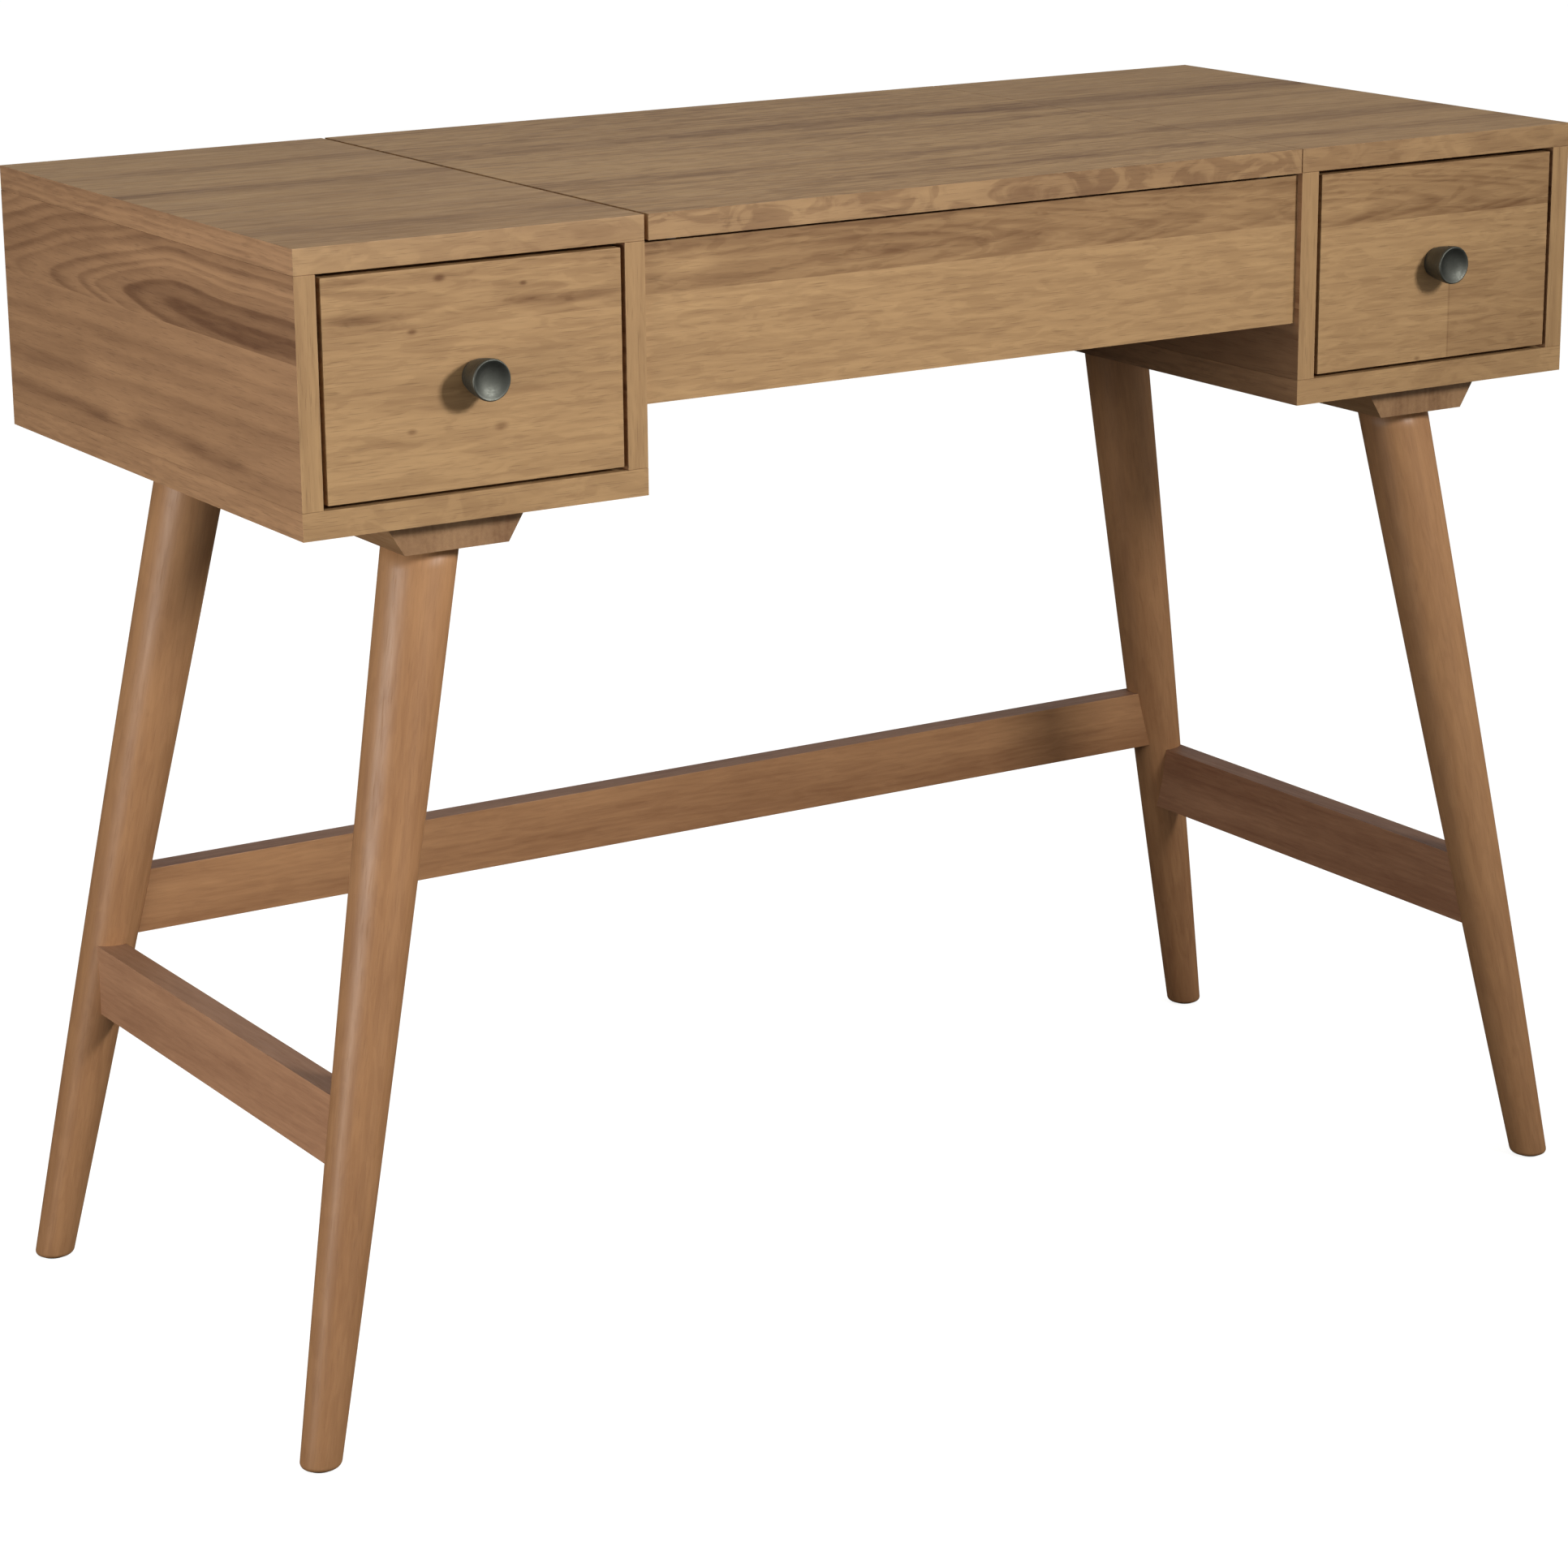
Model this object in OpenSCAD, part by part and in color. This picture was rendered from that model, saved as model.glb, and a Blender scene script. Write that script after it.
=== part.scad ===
// Dressing table: two drawer boxes joined by a lidded well, a mirror under the lid,
// and four splayed round legs with stretchers.
// X runs along the front, Y from front to back and Z up, in millimetres.
// The origin is on the floor, in the middle of the footprint.

/* [Overall] */
// Width over both drawer boxes
table_w = 975; // [950:5:1100]
// Depth of the case, front face to back face
table_d = 435; // [430:5:500]
// Height of the top surface above the floor
table_h = 762; // [720:1:780]

/* [Drawer boxes] */
// Width of each drawer box
box_w = 234.5; // [230:0.5:260]
// Height of each drawer box
box_h = 172.5; // [170:0.5:200]
// Thickness of the box tops and of the lid
top_t = 16; // [15:0.5:20]
// Thickness of the box bottoms
bottom_t = 17; // [16:0.5:20]
// Thickness of the upright side panels
side_t = 14; // [12:0.5:16]
// Thickness of the back panels
back_t = 9; // [6:0.5:12]
// How far the back panels sit in from the back face
back_inset = 6; // [3:0.5:8]

/* [Well] */
// Height of the apron in front of the well
apron_h = 99; // [92:1:115]
// Thickness of the apron
apron_t = 15; // [14:0.5:18]
// How far the apron sits back from the front face
apron_inset = 5; // [3:0.5:8]
// Thickness of the well's floor
floor_t = 12; // [9:0.5:15]
// Thickness of the rail that carries the hinges
rail_t = 15; // [15:0.5:18]

/* [Lid and mirror] */
// Open gap between the lid and the left box
lid_gap_left = 2.8; // [0.8:0.1:4]
// Open gap between the lid and the right box
lid_gap_right = 0.8; // [0.8:0.1:4]
// Gap between the apron's top edge and the underside of the lid
lid_gap_under = 2; // [2:0.1:3]
// Width of the mirror over its frame
mirror_w = 450; // [380:5:460]
// Depth of the mirror over its frame, as the closed lid lies
mirror_d = 350; // [300:5:360]
// Width of the frame's mouldings
frame_w = 22; // [18:1:30]
// Thickness of the frame's mouldings
frame_t = 11; // [10:0.5:14]
// Thickness of the mirror glass
glass_t = 4; // [3:0.5:5]

/* [Hinges] */
// Distance of each hinge from the middle of the lid
hinge_x = 160; // [120:5:200]
// Length of each hinge
hinge_len = 62; // [55:1:75]
// Radius of the hinge knuckles
knuckle_r = 3.2; // [3:0.1:3.4]
// Radius of the hinge pins
pin_r = 1.5; // [1.3:0.1:1.6]

/* [Drawers] */
// Gap between a drawer front and the box around it, at the sides
front_gap_x = 3; // [2:0.1:4]
// Gap above and below a drawer front
front_gap_z = 2.6; // [2:0.1:4]
// Thickness of the drawer fronts
front_t = 17; // [16:0.5:20]
// Thickness of the drawer box's sides and ends
wall_t = 12; // [10:0.5:14]
// Height of the drawer box
drawer_h = 102; // [95:1:108]
// Length of the drawer box
drawer_len = 375; // [360:5:385]
// Length of the telescopic slides
slide_len = 350; // [300:10:360]
// Thickness of a closed slide, which is also the room it needs at each side
slide_w = 12.7; // [12.7:0.1:13]

/* [Knobs] */
// Radius of the knob's head
knob_r = 12.8; // [12:0.1:16]
// Radius of the knob's foot, against the drawer front
knob_foot_r = 9.8; // [8:0.1:10.5]
// How far the knob stands out of the drawer front
knob_out = 20; // [19:0.5:26]
// Depth of the dish in the knob's face
knob_dish = 3; // [0:0.1:4]

/* [Legs] */
// Radius of a leg at its top
leg_top_r = 24; // [22:0.5:26]
// Radius of a leg at the floor
leg_foot_r = 13.1; // [12:0.1:16]
// How much a leg swells at mid height beyond a straight taper
leg_swell = 1; // [0:0.1:2]
// How far a foot's centre stands out beyond the side of the case
foot_out_x = 9.7; // [-20:0.1:30]
// How far a foot's centre stands in from the front or back face
foot_in_y = 8.1; // [4:0.1:40]
// Centre of a leg's top, in from the side of the case
head_in_x = 105; // [102:0.1:112]
// Centre of a leg's top, in from the front or back face
head_in_y = 55.2; // [52:0.1:80]

/* [Cleats and stretchers] */
// Height of the cleats between the legs and the boxes
cleat_h = 21; // [20:0.5:26]
// Width of a cleat's lower face
cleat_low_w = 71; // [70:1:80]
// Width of a cleat's upper face
cleat_top_w = 97; // [90:1:110]
// Middle of a cleat, in from the side of the case
cleat_in_x = 110.4; // [108:0.1:112]
// How far the cleats stop short of the front and back faces
cleat_in_y = 17.5; // [12:0.5:24]
// Thickness of the stretchers
stretcher_t = 19; // [17:0.5:21]
// Height of the side stretchers
side_stretcher_h = 49; // [44:1:50]
// Lower edge of the side stretchers above the floor
side_stretcher_z = 181; // [140:1:182]
// Height of the rear stretcher
rear_stretcher_h = 44; // [40:1:48]
// Lower edge of the rear stretcher above the floor
rear_stretcher_z = 234; // [234:1:270]

/* [Hidden] */

// Smoothness of round parts
$fn = 64;
// Clearance of a fastener in its hole, on the radius
slack = 0.1;
// Overrun of a cutting shape past the face that it cuts
cut = 1;

// Case planes
pin_spare = 0.4;
pin_out = knuckle_r + pin_spare;
front_y = knob_out - (table_d + knob_out + pin_out + knuckle_r) / 2;
back_y = front_y + table_d;
case_y = (front_y + back_y) / 2;
side_x = table_w / 2;
well_x = side_x - box_w;
box_z = table_h - box_h;
panel_z = box_z + bottom_t;
lid_z = table_h - top_t;
panel_h = lid_z - panel_z;
apron_z = lid_z - lid_gap_under - apron_h;
apron_y = front_y + apron_inset;

// Hinges: each leaf lies on its board, and the pin's axis is behind the case
leaf_t = 1.2;
leaf_d = 14;
leaf_gap = 0.3;
pin_y = back_y + pin_out;
pin_z = lid_z - leaf_t - leaf_gap;
rail_top_z = pin_z - leaf_gap - leaf_t;
pin_over = 1.5;
pin_head_t = 1.2;
pin_head_r = pin_r + 0.9;
pin_fit = 0.02;
pin_running = 0.05;
knuckles = 5;
knuckle_gap = 0.5;
knuckle_len = (hinge_len - (knuckles - 1) * knuckle_gap) / knuckles;
hinge_screw_r = 1.5;
hinge_head_r = 2.6;
hinge_screw_len = 12;
hinge_screw_dx = hinge_len / 3;
bumper_r = 4;
bumper_in_x = 25;

// Mirror: the glass and its backing lie in a rebate of the frame, in the middle of the well
mirror_y = (apron_y + apron_t + back_y - rail_t) / 2;
rebate_w = 6;
backing_t = 3;
glass_w = mirror_w - 2 * (frame_w - rebate_w);
glass_d = mirror_d - 2 * (frame_w - rebate_w);

// Drawer and its slides
opening_w = box_w - 2 * side_t;
opening_x = side_x - box_w / 2;
front_w = opening_w - 2 * front_gap_x;
front_h = panel_h - 2 * front_gap_z;
drawer_w = opening_w - 2 * slide_w;
drawer_y = front_y + front_t;
drawer_clear_z = 12;
drawer_z = panel_z + drawer_clear_z;
drawer_floor_t = 6;
drawer_floor_up = 10;
drawer_floor_z = drawer_z + drawer_floor_up;
groove = 6;
groove_play = 0.5;
slide_in_y = 2;
slide_y = drawer_y + slide_in_y;
slide_share = 0.4;
slide_z = drawer_z + slide_share * drawer_h;
slide_gauge = 1.2;
slide_half_h = 17.5;
ball_gap = 3.1;
middle_half_h = slide_half_h - slide_gauge - ball_gap;
inner_half_h = middle_half_h - slide_gauge - ball_gap;
case_slide_lip = 9.5;
middle_slide_in = 2.4;
middle_slide_web = 5.4;
middle_slide_lip = 11;
inner_slide_in = 7.2;

// Knobs: a drum that swells from its foot, a rolled edge and a dished face
knob_z = panel_z + panel_h / 2;
knob_foot_h = 1.4;
knob_swell = 0.6;
knob_edge_h = 3.4;
knob_edge_round = 1.1;
knob_rim = 1.2;
knob_screw_r = 2;
knob_screw_in = 11;
knob_screw_head_r = 4;
knob_screw_head_t = 2.4;
knob_bore_spare = 2;

// Legs run from the floor glides up to the cleats
leg_top_z = box_z - cleat_h;
foot_x = side_x + foot_out_x;
foot_y = table_d / 2 - foot_in_y;
head_x = side_x - head_in_x;
head_y = table_d / 2 - head_in_y;
glide_r = 8.5;
glide_proud = 1;
glide_h = 4;
leg_run = [head_x - foot_x, head_y - foot_y, leg_top_z];
leg_len = norm(leg_run);
leg_tilt = acos(leg_top_z / leg_len);
leg_steps = 12;
bolt_r = 4;
bolt_in_leg = 40;
bolt_in_cleat = 17;
tenon_t = 11;
tenon_shoulder = 9;
cleat_screw_r = 2.1;
cleat_screw_len = 32;
cleat_screw_dx = 24;
cleat_screw_dy = 120;
case_screw_r = 2.2;
case_screw_len = 45;
case_head_r = 4;
case_head_t = 2;
case_screw_in_z = 22;
cleat_x = side_x - cleat_in_x;

oak = [0.67, 0.54, 0.39];
oak_side = [0.56, 0.43, 0.31];
oak_leg = [0.60, 0.44, 0.33];
plywood = [0.80, 0.70, 0.54];
steel = [0.62, 0.63, 0.65];
zinc = [0.74, 0.74, 0.72];
pewter = [0.26, 0.25, 0.23];

// Distance of a leg's axis from the middle plane at height z, along X and along Y
function leg_x(z) = foot_x + leg_run[0] * z / leg_top_z;
function leg_y(z) = foot_y + leg_run[1] * z / leg_top_z;

// Radius of a leg at the fraction t of its length
function leg_r(t) = leg_foot_r + (leg_top_r - leg_foot_r) * t + 4 * leg_swell * t * (1 - t);

// A board between two opposite corners
module board(low, high) {
    translate(low) cube(high - low);
}

// Draws its children, made for the right side, on the side given by sx (-1 left, 1 right)
module on_side(sx) {
    mirror([sx < 0 ? 1 : 0, 0, 0]) children();
}

// Draws its children, made for the back right corner, at the corner given by sx and sy
module at_corner(sx, sy) {
    translate([0, case_y, 0])
        mirror([sx < 0 ? 1 : 0, 0, 0])
            mirror([0, sy < 0 ? 1 : 0, 0])
                children();
}

// A round rod along X, from x0 to x1
module rod_x(x0, x1, y, z, r) {
    translate([x0, y, z]) rotate([0, 90, 0]) cylinder(r = r, h = x1 - x0);
}

// ---- Drawer boxes ----

module box_top(sx) {
    color(oak) on_side(sx)
        board([well_x, front_y, lid_z], [side_x, back_y, table_h]);
}

module box_bottom(sx) {
    color(oak) on_side(sx)
        difference() {
            board([well_x, front_y, box_z], [side_x, back_y, panel_z]);
            cleat_screw_shanks(cleat_screw_r + slack);
        }
}

module outer_side(sx) {
    color(oak_side) on_side(sx)
        board([side_x - side_t, front_y, panel_z], [side_x, back_y, lid_z]);
}

module inner_side(sx) {
    color(oak_side) on_side(sx)
        difference() {
            board([well_x, front_y, panel_z], [well_x + side_t, back_y, lid_z]);
            case_screw_set(slack);
        }
}

module back_panel(sx) {
    color(plywood) on_side(sx)
        board([well_x + side_t, back_y - back_inset - back_t, panel_z],
              [side_x - side_t, back_y - back_inset, lid_z]);
}

// ---- Well between the boxes ----

// Screws from inside the right box into the ends of the apron and the hinge rail
module case_screw_set(extra) {
    for (y = [apron_y + apron_t / 2, back_y - rail_t / 2])
        for (z = [apron_z + case_screw_in_z, apron_z + apron_h - case_screw_in_z]) {
            rod_x(well_x + side_t - case_screw_len, well_x + side_t, y, z, case_screw_r + extra);
            rod_x(well_x + side_t - case_head_t, well_x + side_t + (extra > 0 ? cut : 0), y, z,
                  case_head_r + extra);
        }
}

module case_screws() {
    color(zinc) for (sx = [-1, 1]) on_side(sx) case_screw_set(0);
}

module apron() {
    color(oak) difference() {
        board([-well_x, apron_y, apron_z], [well_x, apron_y + apron_t, apron_z + apron_h]);
        for (sx = [-1, 1]) on_side(sx) case_screw_set(slack);
    }
}

module well_floor() {
    color(plywood)
        board([-well_x, apron_y + apron_t, apron_z], [well_x, back_y - rail_t, apron_z + floor_t]);
}

module hinge_rail() {
    color(oak_side) difference() {
        board([-well_x, back_y - rail_t, apron_z], [well_x, back_y, rail_top_z]);
        for (sx = [-1, 1]) on_side(sx) case_screw_set(slack);
        hinge_screw_shanks(rail_top_z, -1, slack);
    }
}

// Clear pads on the apron's top edge that the closed lid comes down on
module lid_bumpers() {
    color("gainsboro") for (sx = [-1, 1])
        translate([sx * (well_x - bumper_in_x), apron_y + apron_t / 2, apron_z + apron_h])
            cylinder(r = bumper_r, h = lid_gap_under - leaf_gap);
}

// ---- Hinges ----

// Draws its children at each hinge
module at_hinges() {
    for (sx = [-1, 1]) translate([sx * hinge_x, 0, 0]) children();
}

// Shanks of the hinge screws, from height z, going up (dir 1) or down (dir -1)
module hinge_screw_shanks(z, dir, extra) {
    at_hinges() for (i = [-1:1])
        translate([i * hinge_screw_dx, back_y - leaf_d / 2, z])
            mirror([0, 0, dir < 0 ? 1 : 0])
                cylinder(r = hinge_screw_r + extra, h = hinge_screw_len + (extra > 0 ? cut : 0));
}

// Heads of the hinge screws, flush in a leaf whose lower face is at z
module hinge_screw_heads(z, extra) {
    at_hinges() for (i = [-1:1])
        translate([i * hinge_screw_dx, back_y - leaf_d / 2, z - extra])
            cylinder(r = hinge_head_r + extra, h = leaf_t + 2 * extra);
}

// One hinge leaf: its plate, and the knuckles first, first + 2, ... with a bore of radius bore_r
module hinge_leaf(z, first, bore_r) {
    difference() {
        union() {
            board([-hinge_len / 2, back_y - leaf_d, z], [hinge_len / 2, back_y, z + leaf_t]);
            for (i = [first:2:knuckles - 1]) {
                x0 = -hinge_len / 2 + i * (knuckle_len + knuckle_gap);
                board([x0, back_y - cut, z], [x0 + knuckle_len, pin_y, z + leaf_t]);
                rod_x(x0, x0 + knuckle_len, pin_y, pin_z, knuckle_r);
            }
        }
        rod_x(-hinge_len, hinge_len, pin_y, pin_z, bore_r);
    }
}

module rail_hinge_leaves() {
    color(zinc) difference() {
        at_hinges() hinge_leaf(rail_top_z, 0, pin_r + pin_fit);
        hinge_screw_heads(rail_top_z, slack);
    }
}

module lid_hinge_leaves() {
    color(zinc) difference() {
        at_hinges() hinge_leaf(lid_z - leaf_t, 1, pin_r + pin_running);
        hinge_screw_heads(lid_z - leaf_t, slack);
    }
}

module hinge_pins() {
    color(steel) at_hinges() {
        rod_x(-hinge_len / 2 - pin_over, hinge_len / 2 + pin_over, pin_y, pin_z, pin_r);
        for (x0 = [-hinge_len / 2 - pin_over, hinge_len / 2 + pin_over - pin_head_t])
            rod_x(x0, x0 + pin_head_t, pin_y, pin_z, pin_head_r);
    }
}

module rail_hinge_screws() {
    color(steel) {
        hinge_screw_shanks(rail_top_z, -1, 0);
        hinge_screw_heads(rail_top_z, 0);
    }
}

module lid_hinge_screws() {
    color(steel) {
        hinge_screw_shanks(lid_z, 1, 0);
        hinge_screw_heads(lid_z - leaf_t, 0);
    }
}

// ---- Lid and mirror ----

module lid_panel() {
    color(oak) difference() {
        board([-well_x + lid_gap_left, front_y, lid_z], [well_x - lid_gap_right, back_y, table_h]);
        hinge_screw_shanks(lid_z, 1, slack);
    }
}

// A flat panel of the glass's size under the lid, from height z up by t
module mirror_sheet(z, t) {
    translate([0, mirror_y, z + t / 2]) cube([glass_w, glass_d, t], center = true);
}

module mirror_backing() {
    color("peru") mirror_sheet(lid_z - backing_t, backing_t);
}

module mirror_glass() {
    color("lightsteelblue") mirror_sheet(lid_z - backing_t - glass_t, glass_t);
}

// A mitred moulding of outer length len, outer edge at distance half, with a rebate for the glass
module moulding(len, half) {
    difference() {
        translate([0, 0, lid_z - frame_t])
            linear_extrude(frame_t)
                polygon([[-len / 2, half], [len / 2, half],
                         [len / 2 - frame_w, half - frame_w], [-len / 2 + frame_w, half - frame_w]]);
        board([-len, half - frame_w - cut, lid_z - backing_t - glass_t],
              [len, half - frame_w + rebate_w, lid_z + cut]);
    }
}

// The two mouldings along the front and back of the mirror
module mirror_frame_rails() {
    color(oak_side) translate([0, mirror_y, 0])
        for (a = [0, 180]) rotate([0, 0, a]) moulding(mirror_w, mirror_d / 2);
}

// The two mouldings at the left and right of the mirror
module mirror_frame_stiles() {
    color(oak_side) translate([0, mirror_y, 0])
        for (a = [90, 270]) rotate([0, 0, a]) moulding(mirror_d, mirror_w / 2);
}

// ---- Slides ----

// Section of a channel from depth u0 to u1, half height h, with its web at depth w0
module channel(u0, u1, h, w0) {
    translate([0, slide_y, slide_z]) {
        translate([w0, 0, -h]) cube([slide_gauge, slide_len, 2 * h]);
        for (z = [-h, h - slide_gauge])
            translate([u0, 0, z]) cube([u1 - u0, slide_len, slide_gauge]);
    }
}

// Draws a slide's channel against both side panels of the box on side sx
module both_slides(sx) {
    on_side(sx) {
        translate([well_x + side_t, 0, 0]) children();
        translate([side_x - side_t, 0, 0]) mirror([1, 0, 0]) children();
    }
}

module case_slides(sx) {
    color(steel) both_slides(sx) channel(0, case_slide_lip, slide_half_h, 0);
}

module middle_slides(sx) {
    color(steel) both_slides(sx)
        channel(middle_slide_in, middle_slide_lip, middle_half_h, middle_slide_web);
}

module drawer_slides(sx) {
    color(steel) both_slides(sx)
        channel(inner_slide_in, slide_w, inner_half_h, slide_w - slide_gauge);
}

// ---- Drawers ----

module drawer_front(sx) {
    color(oak) on_side(sx) difference() {
        translate([opening_x - front_w / 2, front_y, panel_z + front_gap_z])
            cube([front_w, front_t, front_h]);
        knob_screw_shank(slack);
    }
}

module drawer_box_front(sx) {
    color(plywood) on_side(sx) difference() {
        drawer_end(drawer_y);
        drawer_groove();
        knob_screw_shank(slack);
    }
}

module drawer_back(sx) {
    color(plywood) on_side(sx) difference() {
        drawer_end(drawer_y + drawer_len - wall_t);
        drawer_groove();
    }
}

// A cross board of the drawer box, between its two sides
module drawer_end(y) {
    inner_w = drawer_w - 2 * wall_t;
    translate([opening_x - inner_w / 2, y, drawer_z]) cube([inner_w, wall_t, drawer_h]);
}

// A long side of the drawer box, dir 1 away from the middle of the table and -1 towards it
module drawer_side(sx, dir) {
    color(plywood) on_side(sx) difference() {
        translate([opening_x + dir * (drawer_w - wall_t) / 2 - wall_t / 2, drawer_y, drawer_z])
            cube([wall_t, drawer_len, drawer_h]);
        drawer_groove();
    }
}

// The space of the groove that holds the drawer's floor, around the inside of the box
module drawer_groove() {
    x_half = drawer_w / 2 - wall_t + groove;
    board([opening_x - x_half, drawer_y + wall_t - groove, drawer_floor_z],
          [opening_x + x_half, drawer_y + drawer_len - wall_t + groove,
           drawer_floor_z + drawer_floor_t]);
}

module drawer_bottom(sx) {
    edge = groove - groove_play;
    x_half = drawer_w / 2 - wall_t + edge;
    color("tan") on_side(sx)
        board([opening_x - x_half, drawer_y + wall_t - edge, drawer_floor_z],
              [opening_x + x_half, drawer_y + drawer_len - wall_t + edge,
               drawer_floor_z + drawer_floor_t]);
}

// ---- Knobs ----

// Draws its children with their axis out of the drawer front's face, at the knob's centre
module at_knob() {
    translate([opening_x, front_y, knob_z]) rotate([90, 0, 0]) children();
}

module knob(sx) {
    dish_r = knob_r - knob_edge_round - knob_rim;
    edge_z = knob_out - knob_edge_h;
    steps = 8;
    flare = [for (i = [1:steps])
        let (t = i / steps)
        [knob_foot_r + (knob_r - knob_foot_r) * pow(t, knob_swell),
            knob_foot_h + (edge_z - knob_foot_h) * t]];
    edge = [for (a = [0:15:90])
        [knob_r - knob_edge_round * (1 - cos(a)), knob_out - knob_edge_round * (1 - sin(a))]];
    dish = [for (i = [0:steps])
        let (t = 1 - i / steps)
        [dish_r * t, knob_out - knob_dish * (1 - t * t)]];
    color(pewter) on_side(sx) at_knob() difference() {
        rotate_extrude()
            polygon(concat([[0, 0], [knob_foot_r, 0], [knob_foot_r, knob_foot_h]], flare, edge, dish));
        translate([0, 0, -cut])
            cylinder(r = knob_screw_r + slack, h = knob_screw_in + knob_bore_spare + cut);
    }
}

// Shank of the knob's screw, from inside the drawer box into the knob
module knob_screw_shank(extra) {
    at_knob() translate([0, 0, -front_t - wall_t - extra])
        cylinder(r = knob_screw_r + extra, h = front_t + wall_t + knob_screw_in + extra);
}

module knob_screw(sx) {
    color(zinc) on_side(sx) {
        knob_screw_shank(0);
        at_knob() translate([0, 0, -front_t - wall_t - knob_screw_head_t])
            cylinder(r = knob_screw_head_r, h = knob_screw_head_t);
    }
}

// ---- Legs, cleats and stretchers ----

// Places its children on the axis of the back right leg, from the floor up
module on_leg_axis() {
    translate([foot_x, foot_y, 0])
        rotate(a = leg_tilt, v = [-leg_run[1], leg_run[0], 0])
            children();
}

// The back right leg's turned body, cut level at both ends
module leg_body() {
    over = 0.05;
    profile = [for (i = [0:leg_steps])
        let (t = -over + (1 + 2 * over) * i / leg_steps) [leg_r(t), t * leg_len]];
    intersection() {
        on_leg_axis() rotate_extrude()
            polygon(concat([[0, -over * leg_len]], profile, [[0, (1 + over) * leg_len]]));
        board([0, 0, glide_proud], [table_w, table_d, leg_top_z]);
    }
}

// The room for the tenons that enter the back right leg: the side one, and the rear one
module leg_mortises(has_rear) {
    z_side = side_stretcher_z + side_stretcher_h / 2;
    z_rear = rear_stretcher_z + rear_stretcher_h / 2;
    side_h = side_stretcher_h - 2 * tenon_shoulder;
    rear_h = rear_stretcher_h - 2 * tenon_shoulder;
    translate([leg_x(z_side) - tenon_t / 2, 0, z_side - side_h / 2])
        cube([tenon_t, leg_y(z_side) + cut, side_h]);
    if (has_rear)
        translate([0, leg_y(z_rear) - tenon_t / 2, z_rear - rear_h / 2])
            cube([leg_x(z_rear) + cut, tenon_t, rear_h]);
}

module leg(sx, sy) {
    color(oak_leg) at_corner(sx, sy) difference() {
        leg_body();
        leg_mortises(sy > 0);
        leg_bolt(slack);
        translate([foot_x, foot_y, 0]) cylinder(r = glide_r + slack, h = glide_h);
    }
}

module foot_glides() {
    color("dimgray") for (sx = [-1, 1]) for (sy = [-1, 1])
        at_corner(sx, sy) translate([foot_x, foot_y, 0]) cylinder(r = glide_r, h = glide_h);
}

// The bolt between a leg and its cleat, on the leg's own axis
module leg_bolt(extra) {
    on_leg_axis() translate([0, 0, leg_len - bolt_in_leg - extra])
        cylinder(r = bolt_r + extra, h = bolt_in_leg + bolt_in_cleat + 2 * extra);
}

module leg_bolts() {
    color(zinc) for (sx = [-1, 1]) for (sy = [-1, 1]) at_corner(sx, sy) leg_bolt(0);
}

// Shanks of the screws that go up through the right cleat into the box above it
module cleat_screw_shanks(r) {
    for (y = [-1, -1 / 3, 1 / 3, 1]) for (x = [-1, 1])
        translate([cleat_x + x * cleat_screw_dx, case_y + y * cleat_screw_dy, leg_top_z])
            cylinder(r = r, h = cleat_screw_len);
}

module cleat_screws() {
    color(zinc) for (sx = [-1, 1]) on_side(sx) cleat_screw_shanks(cleat_screw_r);
}

module cleat(sx) {
    color(oak_leg) difference() {
        on_side(sx) difference() {
            translate([cleat_x, back_y - cleat_in_y, leg_top_z])
                rotate([90, 0, 0])
                    linear_extrude(table_d - 2 * cleat_in_y)
                        polygon([[-cleat_low_w / 2, 0], [cleat_low_w / 2, 0],
                                 [cleat_top_w / 2, cleat_h], [-cleat_top_w / 2, cleat_h]]);
            cleat_screw_shanks(cleat_screw_r + slack);
        }
        for (sy = [-1, 1]) at_corner(sx, sy) leg_bolt(slack);
    }
}

module side_stretcher(sx) {
    z = side_stretcher_z + side_stretcher_h / 2;
    reach = leg_y(z);
    color(oak_leg) difference() {
        at_corner(sx, 1)
            board([leg_x(z) - stretcher_t / 2, -reach, side_stretcher_z],
                  [leg_x(z) + stretcher_t / 2, reach, side_stretcher_z + side_stretcher_h]);
        for (sy = [-1, 1]) at_corner(sx, sy) difference() {
            leg_body();
            leg_mortises(false);
        }
    }
}

module rear_stretcher() {
    z = rear_stretcher_z + rear_stretcher_h / 2;
    reach = leg_x(z);
    color(oak_leg) difference() {
        translate([0, case_y, 0])
            board([-reach, leg_y(z) - stretcher_t / 2, rear_stretcher_z],
                  [reach, leg_y(z) + stretcher_t / 2, rear_stretcher_z + rear_stretcher_h]);
        for (sx = [-1, 1]) at_corner(sx, 1) difference() {
            leg_body();
            leg_mortises(true);
        }
    }
}

box_top(-1);  // left_top_panel
box_bottom(-1);  // left_bottom_panel
outer_side(-1);  // left_outer_side
inner_side(-1);  // left_inner_side
back_panel(-1);  // left_back_panel
box_top(1);  // right_top_panel
box_bottom(1);  // right_bottom_panel
outer_side(1);  // right_outer_side
inner_side(1);  // right_inner_side
back_panel(1);  // right_back_panel
apron();
well_floor();
hinge_rail();
cleat(-1);  // left_cleat
cleat(1);  // right_cleat
leg(-1, -1);  // front_left_leg
leg(-1, 1);  // back_left_leg
leg(1, -1);  // front_right_leg
leg(1, 1);  // back_right_leg
side_stretcher(-1);  // left_stretcher
side_stretcher(1);  // right_stretcher
rear_stretcher();
foot_glides();
leg_bolts();
cleat_screws();
case_screws();
lid_bumpers();
rail_hinge_leaves();
rail_hinge_screws();
hinge_pins();
case_slides(-1);  // left_case_slides
case_slides(1);  // right_case_slides
middle_slides(-1);  // left_middle_slides
middle_slides(1);  // right_middle_slides
lid_panel();
lid_hinge_leaves();
lid_hinge_screws();
mirror_backing();
mirror_glass();
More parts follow.
